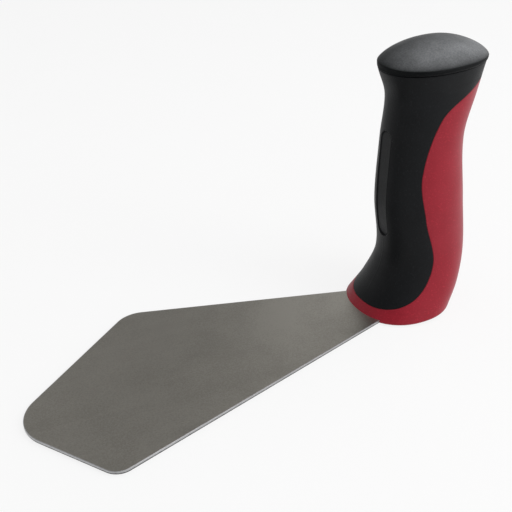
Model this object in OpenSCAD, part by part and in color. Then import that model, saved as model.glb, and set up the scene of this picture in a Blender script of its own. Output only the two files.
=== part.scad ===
// Trowel with a flat, skewed blade and a tall two-colour handle that stands upright on the blade's heel.
// Millimetres. The origin lies on the blade's underside, below the middle of the handle's foot.
// +X points to the nose, +Y to the left of the hand that holds it, +Z up the handle.

/* [Blade] */
// Thickness of the steel sheet
blade_thickness = 1.5; // [1:0.1:2.5]
// Angle of each long edge to the handle's mid-plane
edge_angle = 15.6; // [12:0.1:20]
// Length of the right long edge, from where the two edges would meet to the right shoulder
right_edge = 164; // [140:1:190]
// Length of the left long edge, measured in the same way
left_edge = 202; // [180:1:225]
// Distance from the handle's axis to the nose, before the nose is rounded
nose_reach = 194; // [175:1:215]
// Distance of the nose to the left of the handle's mid-plane
nose_offset = 10; // [0:1:20]
// Radius of the rounded nose
nose_radius = 20; // [8:0.5:25]
// Radius of the rounded right shoulder
right_shoulder_radius = 15.5; // [6:0.5:20]
// Radius of the rounded left shoulder
left_shoulder_radius = 9.5; // [5:0.5:20]
// Distance behind the foot at which the long edges would meet
edge_overrun = 7.7; // [4:0.1:12]
// Plastic left behind the blade's tongue, at the back of the foot
tongue_wall = 4.5; // [3:0.5:8]
// Play around the tongue in its recess
tongue_gap = 0.2; // [0.1:0.05:0.5]

/* [Handle] */
// Height of the handle's rim, where the end cap sits, above the blade's underside
rim_height = 117; // [108:1:135]
// Squareness of every cross-section: 2 is an ellipse, more is squarer
squareness = 2.2; // [2:0.01:2.6]

/* [Handle foot] */
// Reach of the foot ahead of the handle's axis
foot_front = 25.2; // [22:0.1:30]
// Reach of the foot behind the axis
foot_back = 24.3; // [22:0.1:30]
// Half of the foot's width
foot_half_width = 24.3; // [20:0.1:30]
// Radius of the foot's lower edge
foot_round = 1.5; // [0.5:0.1:3]

/* [Handle ankle] */
// Rise of the ankle above the foot
ankle_rise = 12; // [8:0.5:18]
// Reach of the ankle to the front
ankle_front = 16.6; // [14:0.1:22]
// Reach of the ankle to the back
ankle_back = 29.8; // [25:0.1:34]
// Half of the ankle's width
ankle_half_width = 21.2; // [18:0.1:26]

/* [Handle instep] */
// Rise of the instep above the ankle
instep_rise = 16; // [12:0.5:22]
// Reach of the instep to the front
instep_front = 10.9; // [9:0.1:16]
// Reach of the instep to the back
instep_back = 32.1; // [27:0.1:36]
// Half of the instep's width
instep_half_width = 17.8; // [15:0.1:22]

/* [Handle palm] */
// Drop of the palm swell below the rim
palm_drop = 61; // [56:0.5:66]
// Reach of the palm swell to the front
palm_front = 14.6; // [11:0.1:20]
// Reach of the palm swell to the back
palm_back = 28.1; // [22:0.1:33]
// Half of the palm swell's width
palm_half_width = 16.8; // [14:0.1:22]

/* [Handle waist] */
// Drop of the waist below the rim
waist_drop = 31; // [26:0.5:38]
// Reach of the waist to the front
waist_front = 14.9; // [11:0.1:20]
// Reach of the waist to the back
waist_back = 24.4; // [20:0.1:30]
// Half of the waist's width
waist_half_width = 14.9; // [13:0.1:20]

/* [Handle neck] */
// Drop of the neck below the rim
neck_drop = 11; // [8:0.5:16]
// Reach of the neck to the front
neck_front = 14.6; // [11:0.1:20]
// Reach of the neck to the back
neck_back = 29; // [23:0.1:34]
// Half of the neck's width
neck_half_width = 14.8; // [13:0.1:20]

/* [Handle rim] */
// Reach of the rim to the front
rim_front = 19.3; // [16:0.1:24]
// Reach of the rim to the back
rim_back = 31.4; // [26:0.1:36]
// Half of the rim's width
rim_half_width = 15.8; // [14.5:0.1:22]

/* [Grip] */
// Thickness of the soft grip
grip_wall = 2.5; // [1.5:0.1:3.5]
// Height of the hard foot ring under the grip, at the toe
lip_height = 4.9; // [3:0.1:8]
// Place of the colour line's cheek ahead of the axis
cheek_forward = 5; // [2:0.1:8]
// Height of the cheek
cheek_height = 11.3; // [9:0.1:15]
// Distance behind the axis of the colour line's hollow
hollow_setback = 5.6; // [2:0.1:9]
// Rise of the hollow above the ankle
hollow_rise = 15; // [11:0.5:20]
// Distance ahead of the axis of the colour line's crest
crest_forward = 3.8; // [0:0.1:7]
// Rise of the crest above the palm swell
crest_rise = 15; // [8:0.5:22]
// Distance behind the axis at which the colour line turns towards the back
turn_setback = 2.6; // [0:0.1:6]
// Drop of that turn below the rim
turn_drop = 18.6; // [15:0.1:22]
// Distance behind the axis of the colour line's tail
tail_setback = 18.5; // [14:0.1:22]
// Drop of the tail below the rim
tail_drop = 8.3; // [6:0.1:11]
// Drop below the rim of the colour line's end, at the back
tail_end_drop = 3.4; // [1.5:0.1:5]

/* [Grip panel] */
// Length of the bare panel sunk into the grip's front
panel_length = 52; // [30:1:60]
// Width of the panel, which has round ends
panel_width = 8; // [5:0.5:12]
// Depth of the panel's flat floor below the middle of the grip's front
panel_depth = 0.8; // [0.7:0.05:1.2]
// Drop of the panel's middle below the rim
panel_drop = 52.5; // [48:0.5:56]

/* [End cap] */
// Height of the groove between the grip and the cap
groove_height = 0.5; // [0.4:0.1:1.5]
// Depth of the groove
groove_depth = 0.7; // [0.4:0.1:1.5]
// Overhang of the cap past the handle's rim
cap_overhang = 0.4; // [0:0.1:2]
// Further overhang of the cap at the back, over its tip
cap_tip = 1; // [0:0.1:3]
// Radius of the cap's lower edge
cap_edge_radius = 1.4; // [0.8:0.1:3]
// Rise of the domed crown above the cap's widest line
crown_rise = 10.4; // [5:0.1:13]
// Angle by which the crown rises towards the back
crown_tilt = 0.3; // [0:0.1:5]
// Length of the plug under the cap
plug_length = 7; // [4:0.5:9]
// Wall of the plug
plug_wall = 2; // [1.2:0.1:3]
// Play around the plug
plug_gap = 0.15; // [0.1:0.05:0.4]

/* [Tie bolt] */
// Distance of the bolt behind the handle's axis
bolt_setback = 6; // [4:0.5:8]
// Diameter of the bolt
bolt_diameter = 5; // [4:1:6]
// Diameter of its countersunk head
bolt_head = 9.5; // [8:0.5:11]
// Width across the flats of its key socket
bolt_key = 3; // [2.5:0.5:4]
// Length of the bolt that stands out of the nut
bolt_stickout = 2; // [0.5:0.5:3]
// Width across the flats of the nut
nut_width = 8; // [7:0.5:10]
// Height of the nut
nut_height = 4; // [3:0.5:5]
// Diameter of the washer
washer_diameter = 10; // [9:0.5:11.5]
// Thickness of the washer
washer_thickness = 1; // [0.8:0.1:1.6]
// Diameter of the nut's pocket
pocket_diameter = 14; // [12.5:0.5:16]
// Depth of the nut's pocket below the rim
pocket_depth = 17; // [15:0.5:22]

/* [Toe screw] */
// Distance of the screw ahead of the handle's axis
screw_forward = 9; // [7.5:0.5:10]
// Diameter of the screw
screw_diameter = 4; // [3:0.5:4.5]
// Diameter of its countersunk head
screw_head = 8; // [7:0.5:9]
// Width across the flats of its key socket
screw_key = 2.5; // [2:0.5:3]
// Length of the screw, head included
screw_length = 12; // [8:0.5:14]

/* [Fastener fits] */
// Depth of the heads below the blade's underside
head_sink = 0.1; // [0:0.05:0.3]
// Play around heads, shanks and threads
fastener_gap = 0.1; // [0.05:0.05:0.3]
// Depth of the key sockets
key_depth = 1.6; // [1:0.1:2]

/* [Hidden] */
$fn = 64;
sides = 40;           // points around a section of the handle
form_rings = 28;      // sections up the handle
seat_sides = 28;      // points around the hidden seat of the grip
seat_rings = 16;      // sections up that seat
edge_rings = 4;       // sections round the cap's lower edge
crown_rings = 10;     // sections up the crown
crown_end = 88;       // angle round the crown's profile of its last section
foot_rings = 3;       // sections round the foot's lower edge
line_steps = 7;       // straight pieces in each stretch of the colour line
panel_steps = 6;      // straight pieces in each half of the panel's floor
cut = 1;              // overrun of a cutting shape past the face that it opens

// Heights of the handle's stations: the lower ones count up from the foot, the upper ones down from the rim
ankle_height = ankle_rise;
instep_height = ankle_height + instep_rise;
palm_height = rim_height - palm_drop;
waist_height = rim_height - waist_drop;
neck_height = rim_height - neck_drop;

// Stations of the handle: height, reach to the front, reach to the back, half width
stations = [
    [0, foot_front, foot_back, foot_half_width],
    [ankle_height, ankle_front, ankle_back, ankle_half_width],
    [instep_height, instep_front, instep_back, instep_half_width],
    [palm_height, palm_front, palm_back, palm_half_width],
    [waist_height, waist_front, waist_back, waist_half_width],
    [neck_height, neck_front, neck_back, neck_half_width],
    [rim_height, rim_front, rim_back, rim_half_width],
];

// Place of the cap's middle ahead of the axis
cap_middle = (rim_front - rim_back) / 2;

// Corners of the blade before rounding, anticlockwise from the point where the long edges would meet
apex_setback = foot_back + edge_overrun;
tongue_reach = foot_back - tongue_wall;
apex = [-apex_setback, 0];
right_shoulder = apex + right_edge * [cos(edge_angle), -sin(edge_angle)];
left_shoulder = apex + left_edge * [cos(edge_angle), sin(edge_angle)];
nose = [nose_reach, nose_offset];
blade_corners = [apex, right_shoulder, nose, left_shoulder];
tongue_radius = (apex_setback - tongue_reach) * sin(edge_angle) / (1 - sin(edge_angle));
corner_radii = [tongue_radius, right_shoulder_radius, nose_radius, left_shoulder_radius];

// Height and reach past which the side view of the grip covers the whole handle
clear_reach = 2 * max([for (s = stations) max(s)]);
clear_height = rim_height + cut;

// Side view of the colour line, from the toe along the foot, up the side and out at the back
colour_line = [
    [clear_reach, lip_height],
    [foot_front, lip_height],
    [cheek_forward, cheek_height],
    [-hollow_setback, ankle_height + hollow_rise],
    [crest_forward, palm_height + crest_rise],
    [-turn_setback, rim_height - turn_drop],
    [-tail_setback, rim_height - tail_drop],
    [-rim_back, rim_height - tail_end_drop],
    [-clear_reach, rim_height - tail_end_drop],
];

// Stack of the bolt's nut and washer, from the pocket's floor upwards
pocket_floor = rim_height - pocket_depth;
nut_seat = pocket_floor + washer_thickness;
bolt_end = nut_seat + nut_height + bolt_stickout;

// Cubic through two values with the given slopes, over a stretch of the given length
function cubic(t, length, from, to, from_slope, to_slope) =
    (1 + 2 * t) * pow(1 - t, 2) * from
    + t * pow(1 - t, 2) * length * from_slope
    + t * t * (3 - 2 * t) * to
    + t * t * (t - 1) * length * to_slope;

// Slope of column k of a table at row i, taken across its neighbours
function slope(table, k, i) =
    let (low = max(i - 1, 0))
    let (high = min(i + 1, len(table) - 1))
    (table[high][k] - table[low][k]) / (table[high][0] - table[low][0]);

// Row of a table at or below height z, short of the last row
function row_below(table, z, i = 0) =
    i >= len(table) - 2 || table[i + 1][0] > z ? i : row_below(table, z, i + 1);

// Smooth value of column k of a table at height z
function smooth(table, k, z) =
    let (i = row_below(table, z))
    let (length = table[i + 1][0] - table[i][0])
    cubic((z - table[i][0]) / length, length, table[i][k], table[i + 1][k],
        slope(table, k, i), slope(table, k, i + 1));

// Part of a superellipse's unit circle, kept with its sign
function squared(v) = sign(v) * pow(abs(v), 2 / squareness);

// Section with the given reaches and half width, flat at height z
function section(front, back, half_width, z, count) = [
    for (j = [0:count - 1])
        let (angle = 360 * j / count)
        [
            (front - back) / 2 + (front + back) / 2 * squared(cos(angle)),
            half_width * squared(sin(angle)),
            z,
        ]
];

// Section of the handle at height z, drawn in from the surface by inset
function handle_section(z, inset, count) =
    section(smooth(stations, 1, z) - inset, smooth(stations, 2, z) - inset,
        smooth(stations, 3, z) - inset, z, count);

// Section of the cap, offset outwards from the handle's rim, longer by a tip and scaled about its middle
function cap_section(offset, z, tip, share = 1) =
    let (middle = cap_middle - tip / 2)
    let (reach = ((rim_front + rim_back + tip) / 2 + offset) * share)
    section(middle + reach, reach - middle, (rim_half_width + offset) * share, z, sides);

// Draw-in of the rounded lower edge of the foot at height z
function foot_inset(z) =
    z >= foot_round ? 0 : foot_round - sqrt(pow(foot_round, 2) - pow(foot_round - z, 2));

// Tilt of a section about the middle of the cap, growing with the share of its height
function tilted(points, share) = [
    for (p = points)
        p - [0, 0, share * tan(crown_tilt) * (p[0] - cap_middle)]
];

// Direction of a smooth line at its control point i
function line_slope(points, i) =
    let (before = points[max(i - 1, 0)])
    let (after = points[min(i + 1, len(points) - 1)])
    (after - before) / (norm(after - points[i]) + norm(points[i] - before));

// Point on the smooth line through control points, at step n
function line_point(points, n) =
    let (i = min(floor(n / line_steps), len(points) - 2))
    cubic(n / line_steps - i, norm(points[i + 1] - points[i]), points[i], points[i + 1],
        line_slope(points, i), line_slope(points, i + 1));

function unit(v) = v / norm(v);

// Outward normal of the edge that leaves corner i of an anticlockwise outline
function edge_normal(corners, i) =
    let (d = unit(corners[(i + 1) % len(corners)] - corners[i % len(corners)]))
    [d[1], -d[0]];

// Centre of the arc that rounds corner i with the given radius
function corner_centre(corners, i, radius) =
    let (count = len(corners))
    let (before = edge_normal(corners, i + count - 1))
    let (after = edge_normal(corners, i))
    corners[i] - radius * (before + after) / (1 + before * after);

// Solid through a stack of sections with equal numbers of points
module loft(sections) {
    count = len(sections[0]);
    top = len(sections) - 1;
    walls = [
        for (i = [0:top - 1], j = [0:count - 1])
            let (k = (j + 1) % count)
            each [
                [i * count + j, (i + 1) * count + j, (i + 1) * count + k],
                [i * count + j, (i + 1) * count + k, i * count + k],
            ]
    ];
    floor_face = [for (j = [0:count - 1]) j];
    roof_face = [for (j = [count - 1:-1:0]) top * count + j];
    polyhedron([for (s = sections) each s], concat([floor_face], walls, [roof_face]));
}

// Outer form of the whole handle, from the foot to the rim
module handle_form() {
    round_heights = [for (i = [0:foot_rings - 1]) foot_round * (1 - cos(90 * i / foot_rings))];
    wall_heights = [for (i = [0:form_rings]) foot_round + (rim_height - foot_round) * i / form_rings];
    loft([for (z = concat(round_heights, wall_heights)) handle_section(z, foot_inset(z), sides)]);
}

// Inner face of the soft grip, drawn in from the handle's surface by the grip's wall
module grip_seat() {
    seat_floor = lip_height / 2;
    heights = [for (i = [0:seat_rings]) seat_floor + (rim_height - seat_floor) * i / seat_rings];
    roof = handle_section(rim_height, grip_wall, seat_sides);
    loft(concat(
        [for (z = heights) handle_section(z, grip_wall, seat_sides)],
        [[for (p = roof) p + [0, 0, 2 * cut]]]
    ));
}

// Everything on the grip's side of the colour line, through the full width of the handle
module grip_side() {
    line = [for (n = [0:line_steps * (len(colour_line) - 1)]) line_point(colour_line, n)];
    rotate([90, 0, 0])
        linear_extrude(2 * clear_reach, center = true)
            polygon(concat(line, [[-clear_reach, clear_height], [clear_reach, clear_height]]));
}

// Recess of the bare panel on the grip's front: flat across, curved along with the front
module panel_recess() {
    middle = rim_height - panel_drop;
    half_length = panel_length / 2;
    end_middle = half_length - panel_width / 2;
    floor_line = [
        for (i = [-panel_steps:panel_steps])
            let (z = middle + (half_length + cut) * i / panel_steps)
            [smooth(stations, 1, z) - panel_depth, z]
    ];
    intersection() {
        translate([0, 0, middle])
            rotate([90, 0, 90])
                linear_extrude(clear_reach)
                    hull()
                        for (side = [-1, 1])
                            translate([0, side * end_middle])
                                circle(d = panel_width);
        rotate([90, 0, 0])
            linear_extrude(2 * panel_width, center = true)
                polygon(concat(floor_line, [
                    [clear_reach, middle + half_length + cut],
                    [clear_reach, middle - half_length - cut],
                ]));
    }
}

// Outline of the blade, grown on all sides by a margin
module blade_outline(margin) {
    count = len(blade_corners);
    centres = [for (i = [0:count - 1]) corner_centre(blade_corners, i, corner_radii[i])];
    polygon([
        for (i = [0:count - 1])
            each [
                centres[i] + (corner_radii[i] + margin) * edge_normal(blade_corners, i + count - 1),
                centres[i] + (corner_radii[i] + margin) * edge_normal(blade_corners, i),
            ]
    ]);
    for (i = [0:count - 1])
        translate(centres[i])
            circle(corner_radii[i] + margin);
}

// Solid of a countersunk fastener standing on z = 0, grown by a margin
module countersunk(head, shank, length, margin) {
    head_height = (head - shank) / 2;
    translate([0, 0, head_sink])
        cylinder(d1 = head + 2 * margin, d2 = shank + 2 * margin, h = head_height);
    translate([0, 0, head_sink])
        cylinder(d = shank + 2 * margin, h = length - head_sink + margin);
}

// Hole for a countersunk fastener, open through the blade's underside
module countersunk_hole(head, shank, length) {
    countersunk(head, shank, length, fastener_gap);
    translate([0, 0, -cut])
        cylinder(d = head + 2 * fastener_gap, h = cut + head_sink);
}

// Six-sided prism with the given width across its flats
module hex_prism(width, height) {
    cylinder(d = width / cos(30), h = height, $fn = 6);
}

module bolt_hole() {
    translate([-bolt_setback, 0, 0])
        countersunk_hole(bolt_head, bolt_diameter, pocket_floor + cut);
}

module screw_hole() {
    translate([screw_forward, 0, 0])
        countersunk_hole(screw_head, screw_diameter, screw_length);
}

module blade() {
    color("silver")
        difference() {
            linear_extrude(blade_thickness)
                blade_outline(0);
            bolt_hole();
            screw_hole();
        }
}

module handle_core() {
    color("crimson")
        difference() {
            handle_form();
            difference() {
                grip_side();
                grip_seat();
            }
            translate([0, 0, -cut])
                linear_extrude(blade_thickness + cut)
                    hull()
                        blade_outline(tongue_gap);
            bolt_hole();
            screw_hole();
            translate([-bolt_setback, 0, pocket_floor])
                cylinder(d = pocket_diameter, h = pocket_depth + cut);
        }
}

module grip() {
    color("dimgray")
        difference() {
            intersection() {
                difference() {
                    handle_form();
                    grip_seat();
                }
                grip_side();
            }
            panel_recess();
        }
}

module end_cap() {
    edge_floor = rim_height + groove_height;
    widest = edge_floor + cap_edge_radius;
    full_height = widest + crown_rise - rim_height;
    plug_diameter = pocket_diameter - 2 * plug_gap;

    groove = [
        cap_section(-groove_depth, rim_height, 0),
        cap_section(-groove_depth, edge_floor, 0),
    ];
    edge = [
        for (i = [0:edge_rings - 1])
            let (angle = 90 * i / edge_rings)
            let (z = widest - cap_edge_radius * cos(angle))
            let (offset = cap_overhang - cap_edge_radius * (1 - sin(angle)))
            tilted(cap_section(offset, z, cap_tip), (z - rim_height) / full_height)
    ];
    crown = [
        for (i = [0:crown_rings])
            let (angle = crown_end * i / crown_rings)
            let (z = widest + crown_rise * sin(angle))
            tilted(cap_section(cap_overhang, z, cap_tip, cos(angle)), (z - rim_height) / full_height)
    ];

    color("dimgray") {
        loft(concat(groove, edge, crown));
        translate([-bolt_setback, 0, rim_height - plug_length])
            difference() {
                cylinder(d = plug_diameter, h = plug_length + cut);
                translate([0, 0, -cut])
                    cylinder(d = plug_diameter - 2 * plug_wall, h = plug_length + cut);
            }
    }
}

module tie_bolt() {
    color("gainsboro")
        translate([-bolt_setback, 0, 0])
            difference() {
                countersunk(bolt_head, bolt_diameter, bolt_end, 0);
                hex_prism(bolt_key, head_sink + key_depth);
            }
}

module washer() {
    color("gainsboro")
        translate([-bolt_setback, 0, pocket_floor])
            difference() {
                cylinder(d = washer_diameter, h = washer_thickness);
                translate([0, 0, -cut])
                    cylinder(d = bolt_diameter + 2 * fastener_gap, h = washer_thickness + 2 * cut);
            }
}

module nut() {
    color("gainsboro")
        translate([-bolt_setback, 0, nut_seat])
            difference() {
                hex_prism(nut_width, nut_height);
                translate([0, 0, -cut])
                    cylinder(d = bolt_diameter + 2 * fastener_gap, h = nut_height + 2 * cut);
            }
}

module toe_screw() {
    color("gainsboro")
        translate([screw_forward, 0, 0])
            difference() {
                countersunk(screw_head, screw_diameter, screw_length, 0);
                hex_prism(screw_key, head_sink + key_depth);
            }
}

blade();
handle_core();
grip();
end_cap();
tie_bolt();
washer();
nut();
toe_screw();
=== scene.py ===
import math

import bmesh
import bpy
import numpy as np
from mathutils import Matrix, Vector
from mathutils.kdtree import KDTree


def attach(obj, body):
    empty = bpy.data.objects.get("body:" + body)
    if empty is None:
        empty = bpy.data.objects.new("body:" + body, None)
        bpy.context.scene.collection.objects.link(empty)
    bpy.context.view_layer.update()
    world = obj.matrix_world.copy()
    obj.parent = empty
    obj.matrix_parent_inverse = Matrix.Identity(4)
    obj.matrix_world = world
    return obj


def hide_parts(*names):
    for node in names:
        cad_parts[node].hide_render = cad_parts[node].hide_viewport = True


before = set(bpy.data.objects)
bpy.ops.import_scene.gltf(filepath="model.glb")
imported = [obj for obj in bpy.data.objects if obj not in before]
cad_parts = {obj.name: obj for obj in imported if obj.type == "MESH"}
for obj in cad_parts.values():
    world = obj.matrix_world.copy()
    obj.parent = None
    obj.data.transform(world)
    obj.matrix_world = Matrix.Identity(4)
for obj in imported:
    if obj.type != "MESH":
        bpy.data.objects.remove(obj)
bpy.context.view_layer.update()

# Forms are worked out in millimetres. Materials, floor, lamps and camera are in metres.
MM = 0.001
# Points of a mesh that are closer than this, in metres, are joined.
WELD = 2e-6
BODY = "root"


# Sizes of the handle

# Stations from the foot to the rim: height, reach to the front, reach to the back, half width.
STATIONS = np.array([
    (0, 25.2, 24.3, 24.3),
    (12, 16.6, 29.8, 21.2),
    (28, 10.9, 32.1, 17.8),
    (56, 14.6, 28.1, 16.8),
    (86, 14.9, 24.4, 14.9),
    (106, 14.4, 29.0, 14.8),
    (118.8, 18.7, 31.1, 17.3),
], float)
RIM, RIM_FRONT, RIM_BACK, RIM_HALF = STATIONS[-1]
# Exponent of the squared ovals that the sections are.
SQUARENESS = 2.2
FOOT_ROUND = 1.5
GRIP_WALL = 2.5
# The top leans, higher at the back: its slope, the x that keeps its height, and the height where it starts.
LEAN, LEAN_MIDDLE, LEAN_START = -0.06, -6.0, 96.0

# Side view of the line between the two colours: x, z.
# Its first and last points only set the slopes at its ends.
COLOUR_LINE = np.array([
    (234, 4.9),
    (25.2, 4.9),
    (4.2, 11.3),
    (-5.8, 27),
    (0.1, 50),
    (3.8, 72),
    (-3.7, 97.6),
    (-18.7, 107.9),
    (-31.4, 112.2),
    (-234, 112.2),
], float)
# Rolls of both skins into the seam along that line, and of the grip's top into the groove under the cap.
SEAM_ROLL, TOP_ROLL = 0.26, 0.5

# Flat-floored panel on the grip's front, with a soft wall and an engraved border.
PANEL_MIDDLE, PANEL_HALF_LENGTH, PANEL_HALF_WIDTH, PANEL_DEPTH = 64.5, 26.0, 4.0, 0.8
PANEL_WALL = 0.5
BORDER_DEPTH, BORDER_INSET, BORDER_HALF_WIDTH = 0.22, 0.2, 0.4
# Fine raised mould line from the panel down to the toe, fading out at both ends.
MOULD_HEIGHT, MOULD_HALF_WIDTH, MOULD_FADE, MOULD_ABOVE_TOE = 0.07, 0.28, 3.0, 1.5


# Sizes of the bores, the cap and the blade

# Bores of the two fasteners: place, radius at the mouth and along the shank, and height of the screw's.
BOLT_X, BOLT_MOUTH, BOLT_SHANK = -6.0, 4.85, 2.6
SCREW_X, SCREW_MOUTH, SCREW_SHANK, SCREW_TOP = 9.0, 4.1, 2.1, 12.1
# Straight part of a countersink below its cone.
MOUTH_LAND = 0.1
# How far a cutting solid goes past the face that it cuts.
OVERSHOOT = 1.0
# Pocket for the nut, cut past the leaning top.
POCKET_RADIUS, POCKET_FLOOR, POCKET_TOP = 7.0, 100.0, RIM + 2 * OVERSHOOT

# Groove under the cap, the neck's outline there, the cap's own outline, its lip and crown, and its plug.
GROOVE_HEIGHT, GROOVE_DEPTH = 0.3, 0.6
NECK_MIDDLE, NECK_REACH = (RIM_FRONT - RIM_BACK) / 2, (RIM_FRONT + RIM_BACK) / 2
CAP_MIDDLE, CAP_REACH, CAP_HALF = -6.05, 24.5, 19.2
CAP_LIP, CROWN_RISE, CROWN_FULLNESS = 1.75, 8.55, 1.54
PLUG_RADIUS, PLUG_BORE, PLUG_LENGTH, PLUG_ROOT = 6.85, 4.85, 8.0, 0.6

BLADE_THICKNESS = 1.5
# The tongue's rounded end lies this far behind the origin, with this gap round it in the handle's foot.
TONGUE_REACH, TONGUE_GAP = 19.8, 0.2
EDGE_ANGLE = math.radians(15.75)
# The long edges would meet at the apex, behind the tongue, and their lengths are counted from it.
APEX = np.array((-32.0, 0.0))
RIGHT_EDGE, LEFT_EDGE = 163.8, 201.5
NOSE = np.array((193.6, 10.25))
BLADE_CORNERS = [
    APEX,
    APEX + RIGHT_EDGE * np.array((math.cos(EDGE_ANGLE), -math.sin(EDGE_ANGLE))),
    NOSE,
    APEX + LEFT_EDGE * np.array((math.cos(EDGE_ANGLE), math.sin(EDGE_ANGLE))),
]
TONGUE_RADIUS = (-APEX[0] - TONGUE_REACH) * math.sin(EDGE_ANGLE) / (1 - math.sin(EDGE_ANGLE))
BLADE_RADII = [TONGUE_RADIUS, 14.7, 17.7, 8.0]
# Broken edges of the sheet: their reach, and how far from the face and the side their two facets meet.
EDGE_BREAK, FACET_MEETING = 0.3, 0.09


# Fineness of the meshes

# Rows along the colour line, with more by the panel's ends, and above and below it.
ROW_STEP = 0.5
PANEL_END_STEPS = np.arange(-3, 1, 0.2)
NECK_ROWS, FOOT_ROUND_ROWS, FOOT_RING_ROWS = 26, 10, 14
PANEL_COLUMNS, SIDE_COLUMNS, BACK_COLUMNS = 28, 26, 40
# The columns are fine up to PANEL_SIDE from the front's middle, and step finely away from the seam.
PANEL_SIDE = 6.0
SEAM_STEPS = np.array([0, 0.05, 0.1, 0.16, 0.23, 0.31, 0.42, 0.6, 0.9])
# Rows shorter than this have smaller steps by the seam.
SHORT_ROW = 8.0
# Points of each stretch of the colour line, points of the seam on each side, and angles of a half section.
LINE_POINTS, SEAM_POINTS = 400, 3600
ARC_ANGLES = np.linspace(0, math.pi, 900)
# Steps to both sides, up and down, between which a normal is measured, and the least length it is divided by.
NORMAL_ANGLE, NORMAL_HEIGHT, NORMAL_LEAST = 1e-3, 0.05, 1e-12
TURNED_POINTS, CORNER_POINTS = 96, 40
CAP_POINTS, LIP_RINGS, CROWN_RINGS = 240, 18, 90


# Surface of the handle

def hermite(t, length, start, end, start_slope, end_slope):
    """Smooth curve from start to end, at the share t of its length."""
    return ((1 + 2 * t) * (1 - t) ** 2 * start + t * (1 - t) ** 2 * length * start_slope
            + t * t * (3 - 2 * t) * end + t * t * (t - 1) * length * end_slope)


def eased(share):
    """The share, held between 0 and 1, with a soft start and end."""
    share = np.clip(share, 0, 1)
    return share * share * (3 - 2 * share)


def quarter_round(past, radius):
    """Draw-in of a rounded edge, at a distance past the line where the round begins."""
    past = np.clip(past, 0, radius)
    return radius - np.sqrt(radius ** 2 - past ** 2)


def smooth(column, z):
    """Smooth value of one column of the stations at the heights z."""
    z = np.asarray(z, float)
    heights, values = STATIONS[:, 0], STATIONS[:, column]
    last = len(heights) - 1
    before = np.maximum(np.arange(last + 1) - 1, 0)
    after = np.minimum(np.arange(last + 1) + 1, last)
    slopes = (values[after] - values[before]) / (heights[after] - heights[before])
    i = np.clip(np.searchsorted(heights, z, side="right") - 1, 0, last - 1)
    length = heights[i + 1] - heights[i]
    return hermite((z - heights[i]) / length, length, values[i], values[i + 1], slopes[i], slopes[i + 1])


def squared(value):
    """A sine or cosine drawn out from the circle to the squared oval."""
    return np.sign(value) * np.abs(value) ** (2 / SQUARENESS)


def handle_point(z, angle, inset=0.0):
    """Point of the handle's surface at height z and an angle counted from the front."""
    z, angle = np.broadcast_arrays(np.asarray(z, float), np.asarray(angle, float))
    drawn = inset + quarter_round(FOOT_ROUND - z, FOOT_ROUND)
    front, back, half = (smooth(k, z) - drawn for k in (1, 2, 3))
    x = (front - back) / 2 + (front + back) / 2 * squared(np.cos(angle))
    return np.stack([x, half * squared(np.sin(angle)), z], -1)


def handle_normal(z, angle):
    """Outward normal of the handle's surface."""
    along = handle_point(z, angle + NORMAL_ANGLE) - handle_point(z, angle - NORMAL_ANGLE)
    above, below = np.minimum(z + NORMAL_HEIGHT, RIM), np.maximum(z - NORMAL_HEIGHT, 0)
    normal = np.cross(along, handle_point(above, angle) - handle_point(below, angle))
    return normal / np.maximum(np.linalg.norm(normal, axis=-1, keepdims=True), NORMAL_LEAST)


def leaned(points):
    """The points with the lean of the handle's top."""
    points = np.array(points, float)
    share = (points[..., 2] - LEAN_START) / (RIM - LEAN_START)
    points[..., 2] += LEAN * (points[..., 0] - LEAN_MIDDLE) * eased(share)
    return points


# Line between the two colours

def colour_line_points():
    """Dense points of the colour line between the toe and the back."""
    chords = np.linalg.norm(np.diff(COLOUR_LINE, axis=0), axis=1)
    t = np.linspace(0, 1, LINE_POINTS, endpoint=False)[:, None]
    out = []
    for i in range(1, len(COLOUR_LINE) - 2):
        slopes = [(COLOUR_LINE[k + 1] - COLOUR_LINE[k - 1]) / (chords[k - 1] + chords[k]) for k in (i, i + 1)]
        out.append(hermite(t, chords[i], COLOUR_LINE[i], COLOUR_LINE[i + 1], *slopes))
    line = np.vstack(out + [COLOUR_LINE[-2:-1]])
    line[:, 1] = np.maximum.accumulate(line[:, 1])
    return line


LINE = colour_line_points()


def line_angle(z):
    """Angle from the front at which the colour line crosses the section at height z."""
    front, back = smooth(1, z), smooth(2, z)
    share = (np.interp(z, LINE[:, 1], LINE[:, 0]) - (front - back) / 2) / ((front + back) / 2)
    share = np.clip(share, -1, 1)
    return np.arccos(np.sign(share) * np.abs(share) ** (SQUARENESS / 2))


def line_rows(spacing):
    """Heights at even steps along the part of the colour line that lies on the handle."""
    on = (LINE[:, 0] <= smooth(1, LINE[:, 1])) & (LINE[:, 0] >= -smooth(2, LINE[:, 1]))
    part = LINE[on]
    run = np.concatenate([[0], np.cumsum(np.linalg.norm(np.diff(part, axis=0), axis=1))])
    z = np.interp(np.linspace(0, run[-1], int(run[-1] / spacing)), run, part[:, 1])
    return np.unique(np.round(z, 6))


# Rows and columns of the skins

def arc_tables(heights):
    """For each height, the length along the section from the front to each of ARC_ANGLES."""
    points = handle_point(heights[:, None], ARC_ANGLES[None, :])
    steps = np.linalg.norm(np.diff(points, axis=1), axis=2)
    return np.concatenate([np.zeros((len(heights), 1)), np.cumsum(steps, axis=1)], axis=1)


def seam_steps(length):
    """Steps away from the seam in a row of this length."""
    return SEAM_STEPS * min(1.0, length / SHORT_ROW)


def grip_columns(length):
    """Places from the front's middle to the colour line: fine by the panel and by the line."""
    edge = seam_steps(length)
    inner = length - edge[-1]
    side = min(PANEL_SIDE, inner / 2)
    return np.concatenate([
        np.linspace(0, side, PANEL_COLUMNS)[:-1],
        np.linspace(side, inner, SIDE_COLUMNS),
        length - edge[-2::-1],
    ])


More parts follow.
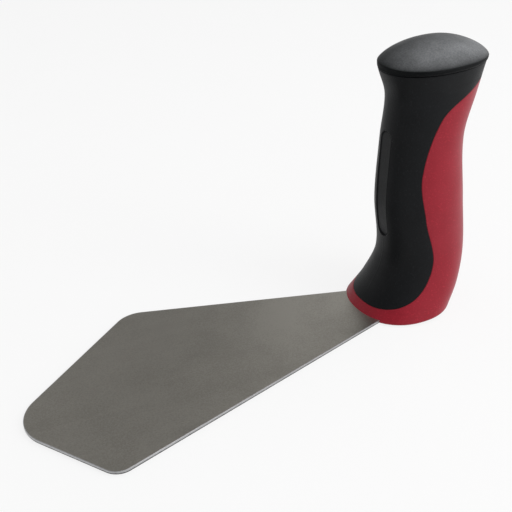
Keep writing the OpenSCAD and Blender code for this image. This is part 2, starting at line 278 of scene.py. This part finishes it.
def core_columns(start, end):
    """Places from the colour line to the back's middle, fine by the line."""
    length = end - start
    edge = seam_steps(length)
    return start + np.concatenate([edge[:-1], np.linspace(edge[-1], length, BACK_COLUMNS)])


def surface_angles(tables, places):
    """Angles of the places along each row."""
    return np.array([np.interp(row, table, ARC_ANGLES) for row, table in zip(places, tables)])


# Meshes and pieces

def bridge(one, two):
    """Faces between two rows of point numbers of equal length."""
    one, two = one.tolist(), two.tolist()
    return [(one[k], one[k + 1], two[k + 1], two[k]) for k in range(len(one) - 1)]


def grid_faces(ids):
    """Faces of a grid of point numbers."""
    return [face for one, two in zip(ids[:-1], ids[1:]) for face in bridge(one, two)]


def ring_faces(rings, count):
    """Faces between the rings of a stack, each a closed round of count points."""
    ids = np.arange(rings * count).reshape(rings, count)
    return grid_faces(np.column_stack([ids, ids[:, 0]]))


def closed_stack(rings):
    """Points and faces of a solid through a stack of rings, with flat ends."""
    count = len(rings[0])
    points = np.vstack(rings)
    faces = ring_faces(len(rings), count)
    faces.append(tuple(range(count))[::-1])
    faces.append(tuple(range(len(points) - count, len(points))))
    return points, faces


def level_ring(outline, z):
    """Points of a flat outline at the height z."""
    return np.column_stack([outline, np.full(len(outline), z)])


def turned(profile, x):
    """Points and faces of a solid of revolution about the upright line through x.
    The profile runs from that line back to it, or comes round to where it began."""
    angles = 2 * math.pi * np.arange(TURNED_POINTS) / TURNED_POINTS
    circle = np.column_stack([np.cos(angles), np.sin(angles)])
    rings = [level_ring((x, 0) + radius * circle, z) for radius, z in profile]
    return np.vstack(rings), ring_faces(len(rings), TURNED_POINTS)


def countersunk_bore(x, mouth, shank, top):
    """Cutting solid of a bore from the underside up to top, with a 45-degree countersink."""
    cone_top = MOUTH_LAND + mouth - shank
    return turned([
        (0, -OVERSHOOT),
        (mouth, -OVERSHOOT),
        (mouth, MOUTH_LAND),
        (shank, cone_top),
        (shank, top),
        (0, top),
    ], x)


def finished_mesh(name, points, faces):
    """Mesh in metres, with coinciding points joined and all faces turned outwards."""
    mesh = bpy.data.meshes.new(name)
    mesh.from_pydata((np.asarray(points) * MM).tolist(), [], faces)
    work = bmesh.new()
    work.from_mesh(mesh)
    bmesh.ops.remove_doubles(work, verts=work.verts, dist=WELD)
    bmesh.ops.dissolve_degenerate(work, edges=work.edges, dist=WELD)
    bmesh.ops.recalc_face_normals(work, faces=work.faces)
    work.to_mesh(mesh)
    work.free()
    return mesh


def carve(mesh, cutters):
    """The mesh with the cutting solids taken out of it, as clean triangles."""
    body = bpy.data.objects.new("carve_body", mesh)
    bpy.context.scene.collection.objects.link(body)
    tools = []
    for i, (points, faces) in enumerate(cutters):
        tool = bpy.data.objects.new(f"carve_tool_{i}", finished_mesh(f"carve_tool_{i}", points, faces))
        bpy.context.scene.collection.objects.link(tool)
        tools.append(tool)
        cut = body.modifiers.new(f"cut_{i}", "BOOLEAN")
        cut.operation, cut.solver, cut.object = "DIFFERENCE", "EXACT", tool
    made = bpy.data.meshes.new_from_object(body.evaluated_get(bpy.context.evaluated_depsgraph_get()))
    for used in [body] + tools:
        bpy.data.objects.remove(used)
    work = bmesh.new()
    work.from_mesh(made)
    bmesh.ops.dissolve_degenerate(work, edges=work.edges, dist=WELD)
    bmesh.ops.triangulate(work, faces=work.faces)
    bmesh.ops.dissolve_degenerate(work, edges=work.edges, dist=WELD)
    work.to_mesh(made)
    work.free()
    return made


def add_piece(name, mesh, node, materials, sharp=40):
    """Piece that replaces a CAD node; edges that turn by more than sharp degrees stay crisp."""
    for material in materials:
        mesh.materials.append(material)
    mesh.polygons.foreach_set("use_smooth", [True] * len(mesh.polygons))
    mesh.set_sharp_from_angle(angle=math.radians(sharp))
    piece = bpy.data.objects.new(name, mesh)
    bpy.context.scene.collection.objects.link(piece)
    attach(piece, BODY)
    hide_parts(node)


# Outline of the blade

def edge_normal(i):
    """Outward normal of the edge that leaves corner i."""
    count = len(BLADE_CORNERS)
    edge = BLADE_CORNERS[(i + 1) % count] - BLADE_CORNERS[i % count]
    edge = edge / np.linalg.norm(edge)
    return np.array((edge[1], -edge[0]))


def blade_outline(margin):
    """The blade's outline, grown by a margin, with true arcs at its corners."""
    points = []
    for i, radius in enumerate(BLADE_RADII):
        before, after = edge_normal(i - 1), edge_normal(i)
        centre = BLADE_CORNERS[i] - radius * (before + after) / (1 + before @ after)
        first = math.atan2(before[1], before[0])
        sweep = (math.atan2(after[1], after[0]) - first) % (2 * math.pi)
        for angle in first + sweep * np.linspace(0, 1, CORNER_POINTS):
            points.append(centre + (radius + margin) * np.array((math.cos(angle), math.sin(angle))))
    return np.array(points)


# Materials

# Span that holds most of a noise's values, and the full span of a share.
SPREAD = (0.3, 0.7)
SHARE = (0.0, 1.0)
# Depths of the surface textures, and the strength of the broad waves.
GRAIN_DEPTH, WAVE_DEPTH, BRUSH_DEPTH, SCRATCH_DEPTH = 0.00012, 0.0006, 0.00006, 0.00004
WAVE_STRENGTH = 0.06
# How smears and crossing scratches are drawn out along the three axes.
SMEAR_SCALE, CROSSING_SCALE = (0.35, 1.0, 1.0), (600, 90, 600)
# Painted shade along the lower part of the blade's edge, next to the floor: its height, how ragged and how
# soft its border is, and its colour.
EDGE_SHADE_HEIGHT, EDGE_SHADE_RAGGED, EDGE_SHADE_SOFT = 0.0006, 0.0001, 0.00008
EDGE_SHADE_COLOUR = (0.035, 0.034, 0.033)


def new_material(name):
    material = bpy.data.materials.new(name)
    material.use_nodes = True
    tree = material.node_tree
    return material, tree, tree.nodes["Principled BSDF"]


class Shader:
    """Short names for the nodes that the materials and the world share."""

    def __init__(self, tree):
        self.tree = tree
        self.place = self.node("ShaderNodeTexCoord").outputs["Object"]

    def node(self, kind, **values):
        node = self.tree.nodes.new(kind)
        for key, value in values.items():
            setattr(node, key, value)
        return node

    def link(self, source, socket):
        self.tree.links.new(source, socket)

    def axis(self, vector, name):
        """One of a vector's X, Y and Z."""
        node = self.node("ShaderNodeSeparateXYZ")
        self.link(vector, node.inputs["Vector"])
        return node.outputs[name]

    def along(self, vector, direction):
        """How far a vector reaches in a direction."""
        node = self.node("ShaderNodeVectorMath", operation="DOT_PRODUCT")
        self.link(vector, node.inputs[0])
        node.inputs[1].default_value = direction
        return node.outputs["Value"]

    def stretched(self, scale):
        """Places scaled by a factor for each axis."""
        node = self.node("ShaderNodeMapping")
        node.inputs["Scale"].default_value = scale
        self.link(self.place, node.inputs["Vector"])
        return node.outputs["Vector"]

    def noise(self, scale, detail=3.0, rough=0.5, vector=None):
        node = self.node("ShaderNodeTexNoise")
        node.inputs["Scale"].default_value = scale
        node.inputs["Detail"].default_value = detail
        node.inputs["Roughness"].default_value = rough
        self.link(vector or self.place, node.inputs["Vector"])
        return node.outputs["Fac"]

    def ranged(self, source, span, result):
        """The source mapped from one span to another and held within it."""
        node = self.node("ShaderNodeMapRange")
        node.inputs["From Min"].default_value, node.inputs["From Max"].default_value = span
        node.inputs["To Min"].default_value, node.inputs["To Max"].default_value = result
        self.link(source, node.inputs["Value"])
        return node.outputs["Result"]

    def math(self, operation, first, *others):
        """The operation on two values, and on its result and each further value."""
        for other in others:
            node = self.node("ShaderNodeMath", operation=operation)
            for i, value in enumerate((first, other)):
                if isinstance(value, (int, float)):
                    node.inputs[i].default_value = value
                else:
                    self.link(value, node.inputs[i])
            first = node.outputs[0]
        return first

    def blend(self, share, one, two):
        """Colour between one and two, by the share of two."""
        node = self.node("ShaderNodeMix", data_type="RGBA")
        self.link(share, node.inputs["Factor"])
        for key, value in (("A", one), ("B", two)):
            socket = [each for each in node.inputs if each.name == key and each.type == "RGBA"][0]
            if isinstance(value, tuple):
                socket.default_value = (*value, 1)
            else:
                self.link(value, socket)
        return [each for each in node.outputs if each.type == "RGBA"][0]

    def ramp(self, source, levels):
        """Grey levels along a share, given as (share, level) pairs."""
        node = self.node("ShaderNodeValToRGB")
        elements = node.color_ramp.elements
        elements[0].position, elements[1].position = levels[0][0], levels[-1][0]
        for position, _ in levels[1:-1]:
            elements.new(position)
        for element, (_, level) in zip(elements, levels):
            element.color = (level, level, level, 1)
        self.link(source, node.inputs["Fac"])
        return node.outputs["Color"]

    def bump(self, height, strength, distance, below=None):
        """Normals of a fine relief, on top of those below it."""
        node = self.node("ShaderNodeBump")
        node.inputs["Strength"].default_value = strength
        node.inputs["Distance"].default_value = distance
        self.link(height, node.inputs["Height"])
        if below is not None:
            self.link(below, node.inputs["Normal"])
        return node.outputs["Normal"]

    def geometry(self, name):
        return self.node("ShaderNodeNewGeometry").outputs[name]


def constants(bsdf, **values):
    """Plain values for sockets, named with _ for each space."""
    for key, value in values.items():
        bsdf.inputs[key.replace("_", " ")].default_value = value


def paler(colour, gain, lift):
    return tuple(min(1, gain * channel + lift) for channel in colour)


def painted_top_light_mask(look):
    """Painted light from above on faces that look up: patchy and speckled, most on the left."""
    upward = look.ranged(look.axis(look.geometry("Normal"), "Z"), (0.55, 0.93), SHARE)
    patchy = look.ranged(look.noise(130, detail=5.0, rough=0.6), SPREAD, (0.75, 1.0))
    speckled = look.ranged(look.noise(1500, rough=0.6), (0.35, 0.65), (0.72, 1.0))
    leftward = look.ranged(look.axis(look.place, "Y"), (-0.004, 0.013), (0.27, 0.85))
    return look.math("MULTIPLY", upward, patchy, speckled, leftward)


def moulded(name, dark, light, rough, grain_scale, grain, painted_top_light=None, **settings):
    """Moulded plastic or rubber: cloudy colour, pale specks, fine surface grain and edges rubbed a little
    lighter. Its upward faces may get painted light from above, in a paler colour."""
    material, tree, bsdf = new_material(name)
    look = Shader(tree)
    clouds = look.ranged(look.noise(55, detail=4.0, rough=0.55), SPREAD, SHARE)
    colour = look.blend(clouds, dark, light)
    specks = look.ranged(look.noise(1400, detail=2.0), (0.58, 0.74), (0.0, 0.3))
    colour = look.blend(specks, colour, paler(light, gain=2.4, lift=0.012))
    edges = look.ranged(look.geometry("Pointiness"), (0.515, 0.58), SHARE)
    wear = look.math("MULTIPLY", edges, look.ranged(look.noise(220), (0.4, 0.7), (0.05, 0.3)))
    colour = look.blend(wear, colour, paler(light, gain=1.7, lift=0.01))
    # Painted light from above: faces that look up turn to the paler colour.
    if painted_top_light is not None:
        colour = look.blend(painted_top_light_mask(look), colour, painted_top_light)
    look.link(colour, bsdf.inputs["Base Color"])
    smudges = look.noise(90, detail=5.0, rough=0.6)
    look.link(look.ranged(smudges, SPREAD, rough), bsdf.inputs["Roughness"])
    fine = look.bump(look.noise(grain_scale, rough=0.6), grain, GRAIN_DEPTH)
    waves = look.bump(look.noise(38, detail=2.0), WAVE_STRENGTH, WAVE_DEPTH, fine)
    look.link(waves, bsdf.inputs["Normal"])
    constants(bsdf, **settings)
    return material


def painted_edge_shade(look, colour):
    """The colour of the blade's edge, with painted shade on its lower part next to the floor."""
    ragged = look.ranged(look.noise(900), SPREAD, (-EDGE_SHADE_RAGGED, EDGE_SHADE_RAGGED))
    border = (EDGE_SHADE_HEIGHT - EDGE_SHADE_SOFT, EDGE_SHADE_HEIGHT + EDGE_SHADE_SOFT)
    below = look.ranged(look.math("ADD", look.axis(look.place, "Z"), ragged), border, SHARE[::-1])
    return look.blend(below, colour, EDGE_SHADE_COLOUR)


def steel(name, dark, light, rough, brush_scale, brush, scratches, shaded_lower_edge=False):
    """Satin steel: brushed along the tool, clouded by handling, with fine crossing scratches."""
    material, tree, bsdf = new_material(name)
    look = Shader(tree)
    mottle = look.noise(24, detail=5.0, rough=0.55)
    smears = look.noise(70, vector=look.stretched(SMEAR_SCALE))
    clouds = look.math("ADD", look.math("MULTIPLY", mottle, 0.8), look.math("MULTIPLY", smears, 0.2))
    grain = look.ranged(look.noise(1500, detail=2.0, rough=0.6), SPREAD, (-0.12, 0.12))
    tone = look.ranged(look.math("ADD", clouds, grain), (0.36, 0.64), SHARE)
    colour = look.blend(tone, dark, light)
    # The edge material gets painted shade on its lower part.
    look.link(painted_edge_shade(look, colour) if shaded_lower_edge else colour, bsdf.inputs["Base Color"])
    lines = look.noise(1.0, detail=4.0, rough=0.6, vector=look.stretched(brush_scale))
    streaks = look.ranged(lines, SPREAD, (-0.03, 0.03))
    handled = look.ranged(clouds, SPREAD, rough[::-1])
    look.link(look.math("ADD", handled, streaks), bsdf.inputs["Roughness"])
    crossing = look.noise(1.0, detail=2.0, vector=look.stretched(CROSSING_SCALE))
    crossing = look.ranged(crossing, (0.66, 0.7), SHARE)
    brushed = look.bump(lines, brush, BRUSH_DEPTH)
    look.link(look.bump(crossing, scratches, SCRATCH_DEPTH, brushed), bsdf.inputs["Normal"])
    constants(bsdf, Metallic=1.0)
    return material


RUBBER = moulded(
    "black_rubber", dark=(0.0028, 0.0032, 0.0039), light=(0.0047, 0.0053, 0.0064), rough=(0.42, 0.52),
    grain_scale=2300, grain=0.45, Sheen_Weight=0.02, Sheen_Roughness=0.4, Specular_IOR_Level=0.12)
RED = moulded(
    "red_plastic", dark=(0.224, 0.0066, 0.0156), light=(0.258, 0.0092, 0.0205), rough=(0.4, 0.5),
    grain_scale=1900, grain=0.14, Sheen_Weight=0.16, Sheen_Roughness=0.4, Sheen_Tint=(1.0, 0.93, 1.0, 1.0),
    Specular_IOR_Level=0.18)
# The cap's crown gets a pale painted top light.
CAP = moulded(
    "black_plastic", dark=(0.005, 0.0056, 0.006), light=(0.008, 0.0088, 0.0094), rough=(0.42, 0.52),
    grain_scale=1100, grain=0.32, painted_top_light=(0.3, 0.308, 0.318), Sheen_Weight=0.01, Sheen_Roughness=0.4,
    Specular_IOR_Level=0.03)
SHEET = steel(
    "blade_steel", dark=(0.314, 0.299, 0.266), light=(0.41, 0.391, 0.352), rough=(0.32, 0.4),
    brush_scale=(14, 900, 900), brush=0.26, scratches=0.16)
# The blade's edge, with painted shade on its lower part.
GROUND = steel(
    "blade_edge_steel", dark=(0.33, 0.33, 0.335), light=(0.45, 0.45, 0.46), rough=(0.28, 0.38),
    brush_scale=(60, 60, 2400), brush=0.4, scratches=0.2, shaded_lower_edge=True)
FASTENER = steel(
    "fastener_steel", dark=(0.4, 0.4, 0.4), light=(0.56, 0.56, 0.55), rough=(0.25, 0.38),
    brush_scale=(500, 500, 1500), brush=0.3, scratches=0.2)


# Rows, seam and seat that the grip and the core share

panel_ends = [PANEL_MIDDLE + side * (PANEL_HALF_LENGTH + PANEL_END_STEPS) for side in (-1, 1)]
seam_rows = np.unique(np.concatenate([line_rows(ROW_STEP)] + panel_ends))
seam_count = len(seam_rows)
toe, tail = seam_rows[0], seam_rows[-1]
grip_rows = np.concatenate([seam_rows, np.linspace(tail, RIM, NECK_ROWS)[1:]])
grip_tables = arc_tables(grip_rows)
line_angles = line_angle(grip_rows)
grip_reach = np.array([np.interp(a, ARC_ANGLES, table) for a, table in zip(line_angles, grip_tables)])
# The grip has no width at the toe, and goes all the way round from the tail up.
grip_reach[0] = 0.0
grip_reach[seam_count - 1:] = grip_tables[seam_count - 1:, -1]
grip_half = np.array([grip_columns(reach) for reach in grip_reach])
half_angles = surface_angles(grip_tables, grip_half)
grip_angles = np.concatenate([-half_angles[:, ::-1], half_angles[:, 1:]], axis=1)
grip_places = np.concatenate([-grip_half[:, ::-1], grip_half[:, 1:]], axis=1)
grip_seat = leaned(handle_point(grip_rows[:, None], grip_angles, GRIP_WALL))

seam_z = np.interp(np.linspace(0, seam_count - 1, SEAM_POINTS), np.arange(seam_count), seam_rows)
seam_angle = np.interp(seam_z, grip_rows, grip_angles[:, -1])
seam_tree = KDTree(2 * SEAM_POINTS)
seam_points = np.vstack([handle_point(seam_z, side * seam_angle) for side in (1, -1)])
for i, point in enumerate(seam_points):
    seam_tree.insert(point, i)
seam_tree.balance()


def seam_roll(points):
    """Inward roll of a surface towards the seam."""
    distance = np.array([seam_tree.find(point)[2] for point in points.reshape(-1, 3)])
    return quarter_round(SEAM_ROLL - distance.reshape(points.shape[:-1]), SEAM_ROLL)


# Grip

def panel_depth(heights, surface):
    """Depth of the panel's flat floor and of its engraved border."""
    beyond = np.maximum(np.abs(heights - PANEL_MIDDLE) - (PANEL_HALF_LENGTH - PANEL_HALF_WIDTH), 0)
    from_border = np.hypot(grip_places, beyond) - PANEL_HALF_WIDTH
    below_front = handle_point(heights, 0.0)[..., 0] - surface[..., 0]
    floor_depth = np.clip(PANEL_DEPTH - below_front, 0, None) * eased(0.5 - from_border / PANEL_WALL)
    groove = np.clip(1 - ((from_border + BORDER_INSET) / BORDER_HALF_WIDTH) ** 2, 0, 1) ** 2
    return floor_depth + BORDER_DEPTH * groove


def mould_line(heights):
    """Height of the fine line from the panel to the toe."""
    below_panel = np.clip((PANEL_MIDDLE - PANEL_HALF_LENGTH - heights) / MOULD_FADE, 0, 1)
    above_toe = np.clip((heights - toe - MOULD_ABOVE_TOE) / MOULD_FADE, 0, 1)
    across = np.clip(1 - np.abs(grip_places) / MOULD_HALF_WIDTH, 0, 1)
    return MOULD_HEIGHT * across * below_panel * above_toe


def grip_mesh():
    """Outer skin with panel and mould line, the inner skin on its seat, and the strips that close them."""
    heights = grip_rows[:, None]
    surface = handle_point(heights, grip_angles)
    sink = seam_roll(surface) + panel_depth(heights, surface) - mould_line(heights)
    sink = sink + quarter_round(heights - RIM + TOP_ROLL, TOP_ROLL)
    skin = leaned(surface - handle_normal(heights, grip_angles) * sink[..., None])

    outside = np.arange(grip_angles.size).reshape(grip_angles.shape)
    inside = outside + outside.size
    faces = grid_faces(outside) + [face[::-1] for face in grid_faces(inside)]
    for column in (0, -1):
        faces += bridge(outside[:seam_count, column], inside[:seam_count, column])
    faces += bridge(outside[-1], inside[-1])
    return finished_mesh("grip_skin", np.vstack([skin.reshape(-1, 3), grip_seat.reshape(-1, 3)]), faces)


add_piece("grip_skin", grip_mesh(), "grip", [RUBBER])


# Core

bolt_bore = countersunk_bore(BOLT_X, BOLT_MOUTH, BOLT_SHANK, POCKET_FLOOR + OVERSHOOT)
screw_bore = countersunk_bore(SCREW_X, SCREW_MOUTH, SCREW_SHANK, SCREW_TOP)


def core_mesh():
    """Outer skin of foot and spine, the seat under the grip, and the hollows for blade and fasteners."""
    foot_rows = np.concatenate([
        FOOT_ROUND * (1 - np.cos(np.linspace(0, math.pi / 2, FOOT_ROUND_ROWS))),
        np.linspace(FOOT_ROUND, toe, FOOT_RING_ROWS)[1:-1],
    ])
    first = len(foot_rows)
    rows = np.concatenate([foot_rows, seam_rows])
    tables = arc_tables(rows)
    starts = np.concatenate([np.zeros(first), grip_reach[:seam_count]])
    places = [core_columns(start, table[-1]) for start, table in zip(starts, tables)]
    half = surface_angles(tables, places)
    angles = np.concatenate([half, (2 * math.pi - half[:, ::-1])[:, 1:]], axis=1)
    surface = handle_point(rows[:, None], angles)
    skin = leaned(surface - handle_normal(rows[:, None], angles) * seam_roll(surface)[..., None])

    outside = np.arange(angles.size).reshape(angles.shape)
    seat = np.arange(grip_angles.size).reshape(grip_angles.shape) + outside.size
    faces = grid_faces(outside) + grid_faces(seat)
    faces += bridge(outside[first:, 0], seat[:seam_count, -1])
    faces += bridge(outside[first:, -1], seat[:seam_count, 0])
    faces.append(tuple(outside[0, :-1].tolist()))
    faces.append(tuple(seat[-1, :-1].tolist()))
    mesh = finished_mesh("handle_body", np.vstack([skin.reshape(-1, 3), grip_seat.reshape(-1, 3)]), faces)

    tongue = blade_outline(TONGUE_GAP)
    recess = closed_stack([level_ring(tongue, -OVERSHOOT), level_ring(tongue, BLADE_THICKNESS)])
    pocket = turned([
        (0, POCKET_FLOOR),
        (POCKET_RADIUS, POCKET_FLOOR),
        (POCKET_RADIUS, POCKET_TOP),
        (0, POCKET_TOP),
    ], BOLT_X)
    return carve(mesh, [recess, bolt_bore, screw_bore, pocket])


add_piece("handle_body", core_mesh(), "handle_core", [RED])


# End cap

def cap_ring(middle, reach, half, z):
    """Leaning squared oval about middle."""
    angles = 2 * math.pi * np.arange(CAP_POINTS) / CAP_POINTS
    x = middle + reach * squared(np.cos(angles))
    return np.stack([x, half * squared(np.sin(angles)), z + LEAN * (x - LEAN_MIDDLE)], -1)


def cap_mesh():
    """Groove, a lip that swells from the neck's outline to the cap's own, the crown and the plug below."""
    lip_floor = RIM + GROOVE_HEIGHT
    groove_reach, groove_half = NECK_REACH - GROOVE_DEPTH, RIM_HALF - GROOVE_DEPTH
    rings = [cap_ring(NECK_MIDDLE, groove_reach, groove_half, z) for z in (RIM, lip_floor)]
    for angle in np.linspace(0, math.pi / 2, LIP_RINGS)[:-1]:
        swell = math.sin(angle)
        middle = NECK_MIDDLE + (CAP_MIDDLE - NECK_MIDDLE) * swell
        reach = NECK_REACH + (CAP_REACH - NECK_REACH) * swell
        half = RIM_HALF + (CAP_HALF - RIM_HALF) * swell
        rings.append(cap_ring(middle, reach, half, lip_floor + CAP_LIP * (1 - math.cos(angle))))
    for angle in np.linspace(0, math.pi / 2, CROWN_RINGS)[:-1]:
        z = lip_floor + CAP_LIP + CROWN_RISE * math.sin(angle) ** CROWN_FULLNESS
        rings.append(cap_ring(CAP_MIDDLE, CAP_REACH * math.cos(angle), CAP_HALF * math.cos(angle), z))
    points, faces = closed_stack(rings)

    top, bottom = RIM + PLUG_ROOT, RIM - PLUG_LENGTH
    plug_points, plug_faces = turned([
        (PLUG_RADIUS, top),
        (PLUG_RADIUS, bottom),
        (PLUG_BORE, bottom),
        (PLUG_BORE, top),
        (PLUG_RADIUS, top),
    ], BOLT_X)
    faces += [tuple(corner + len(points) for corner in face) for face in plug_faces]
    return finished_mesh("cap_shell", np.vstack([points, plug_points]), faces)


add_piece("cap_shell", cap_mesh(), "end_cap", [CAP])


# Blade

# Faces whose normal is less upright than this are edges: sheared, broken or countersunk.
FLAT_FACE = 0.98


def blade_mesh():
    """Sheet with broken edges and two countersunk holes; its edges have the second material."""
    lower = [(-EDGE_BREAK, 0.0), (-FACET_MEETING, FACET_MEETING), (0.0, EDGE_BREAK)]
    upper = [(margin, BLADE_THICKNESS - z) for margin, z in lower[::-1]]
    rings = [level_ring(blade_outline(margin), z) for margin, z in lower + upper]
    mesh = carve(finished_mesh("blade_sheet", *closed_stack(rings)), [bolt_bore, screw_bore])
    for face in mesh.polygons:
        if abs(face.normal.z) < FLAT_FACE:
            face.material_index = 1
    return mesh


add_piece("blade_sheet", blade_mesh(), "blade", [SHEET, GROUND], sharp=15)


# Fasteners

for node in ("tie_bolt", "washer", "nut", "toe_screw"):
    for material_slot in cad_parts[node].material_slots:
        material_slot.link = "OBJECT"
        material_slot.material = FASTENER


# Camera

CAMERA = Vector((0.2116, 0.2680, 0.2193))
AZIMUTH, ELEVATION = math.radians(153.516), math.radians(30.3)
LENS, SENSOR = 56.25, 36
CLIP_START, CLIP_END = 0.01, 30
# Directions as the camera sees them: to its right, towards it along the floor, and up.
RIGHT = Vector((math.cos(AZIMUTH), math.sin(AZIMUTH), 0))
NEAR = Vector((math.sin(AZIMUTH), -math.cos(AZIMUTH), 0))
UP = Vector((0, 0, 1))

scene = bpy.context.scene
scene.view_settings.view_transform = "Standard"
lens = bpy.data.cameras.new("camera")
lens.lens = LENS
lens.sensor_width = SENSOR
lens.clip_start, lens.clip_end = CLIP_START, CLIP_END
camera = bpy.data.objects.new("camera", lens)
camera.location = CAMERA
camera.rotation_mode = "QUATERNION"
looking = -(NEAR * math.cos(ELEVATION) + UP * math.sin(ELEVATION))
camera.rotation_quaternion = looking.to_track_quat("-Z", "Y")
scene.collection.objects.link(camera)
scene.camera = camera


# Floor

FLOOR_HALF, FLOOR_CELLS = 6.0, 8
# The floor lies this far below the blade.
FLOOR_DROP = 0.0006
FLOOR_DARK, FLOOR_LIGHT = (0.8, 0.8, 0.8), (0.82, 0.82, 0.82)
# Share of plain white that the floor shows to the camera and in reflections.
FLOOR_GLOW = 0.82


def floor_material():
    """Pale and matt; seen directly or in a reflection it also glows, so that it comes out nearly white."""
    material, tree, bsdf = new_material("pale_floor")
    look = Shader(tree)
    clouds = look.ranged(look.noise(9), SPREAD, SHARE)
    look.link(look.blend(clouds, FLOOR_DARK, FLOOR_LIGHT), bsdf.inputs["Base Color"])
    constants(bsdf, Roughness=0.9)
    glow = look.node("ShaderNodeEmission")
    glow.inputs["Color"].default_value = (1, 1, 1, 1)
    glow.inputs["Strength"].default_value = 1.0
    path = look.node("ShaderNodeLightPath")
    rays = [path.outputs[f"Is {kind} Ray"] for kind in ("Camera", "Glossy", "Transmission")]
    mixer = look.node("ShaderNodeMixShader")
    look.link(look.math("MULTIPLY", look.math("MAXIMUM", *rays), FLOOR_GLOW), mixer.inputs["Fac"])
    look.link(bsdf.outputs["BSDF"], mixer.inputs[1])
    look.link(glow.outputs["Emission"], mixer.inputs[2])
    look.link(mixer.outputs["Shader"], tree.nodes["Material Output"].inputs["Surface"])
    return material


floor_mesh = bpy.data.meshes.new("floor")
work = bmesh.new()
bmesh.ops.create_grid(work, x_segments=FLOOR_CELLS, y_segments=FLOOR_CELLS, size=FLOOR_HALF)
bmesh.ops.translate(work, verts=work.verts, vec=(0, 0, -FLOOR_DROP))
work.to_mesh(floor_mesh)
work.free()
floor_mesh.materials.append(floor_material())
floor = bpy.data.objects.new("floor", floor_mesh)
scene.collection.objects.link(floor)


# World

# Grey of the studio by the height of a direction: on the wall behind the tool and to its right,
# and elsewhere.
WALL_LEVELS = [(0.0, 0.95), (0.2, 0.65), (0.4, 0.3), (0.7, 0.29), (1.0, 0.4)]
FRONT_LEVELS = [(0.0, 0.4), (0.3, 0.3), (0.6, 0.26), (0.8, 0.3), (1.0, 0.4)]
WALL_DIRECTION = -NEAR * 0.65 + RIGHT * 0.76
WALL_BORDER = (-0.35, 0.55)
# Heights between which the white at the horizon fades out.
HORIZON = (0.06, 0.2)
# Strength of the studio from the camera's left to its right.
ACROSS = (-0.4, 0.4)
ACROSS_LEVELS = [(0.0, 0.9), (0.2, 0.68), (0.38, 0.25), (0.55, 0.94), (0.75, 1.1), (1.0, 1.05)]
ACROSS_STRENGTH = 1.8

world = bpy.data.worlds.new("studio")
scene.world = world
world.use_nodes = True
background = world.node_tree.nodes["Background"]
sky = Shader(world.node_tree)
direction = sky.node("ShaderNodeTexCoord").outputs["Generated"]
height = sky.axis(direction, "Z")
horizon = sky.ranged(height, HORIZON, SHARE[::-1])
on_wall = sky.ranged(sky.along(direction, WALL_DIRECTION), WALL_BORDER, SHARE)
grey = sky.blend(on_wall, sky.ramp(height, FRONT_LEVELS), sky.ramp(height, WALL_LEVELS))
sky.link(sky.blend(horizon, grey, (1.0, 1.0, 1.0)), background.inputs["Color"])
across = sky.ramp(sky.ranged(sky.along(direction, RIGHT), ACROSS, SHARE), ACROSS_LEVELS)
strength = sky.math("MULTIPLY", across, ACROSS_STRENGTH)
sky.link(sky.math("MAXIMUM", strength, horizon), background.inputs["Strength"])


# Lamps

TARGET = Vector((0.02, 0, 0.05))
# Place from the target to the camera's right, towards the camera and up, then size and power.
LAMPS = {
    "overhead": (0.45, 0.3, 0.85, (0.7, 0.7), 2.9),
    "back_right": (0.75, -0.35, 0.45, (1.0, 1.0), 2.2),
    "left": (-0.7, -0.05, 0.35, (0.25, 0.6), 0.15),
    "right": (0.75, 0.3, 0.42, (0.4, 0.5), 2.5),
}

for name, (right, near, up, size, power) in LAMPS.items():
    data = bpy.data.lights.new(name, "AREA")
    data.shape = "RECTANGLE"
    data.size, data.size_y = size
    data.energy = power
    lamp = bpy.data.objects.new(name, data)
    lamp.location = TARGET + RIGHT * right + NEAR * near + UP * up
    lamp.rotation_mode = "QUATERNION"
    lamp.rotation_quaternion = (TARGET - lamp.location).to_track_quat("-Z", "Y")
    scene.collection.objects.link(lamp)
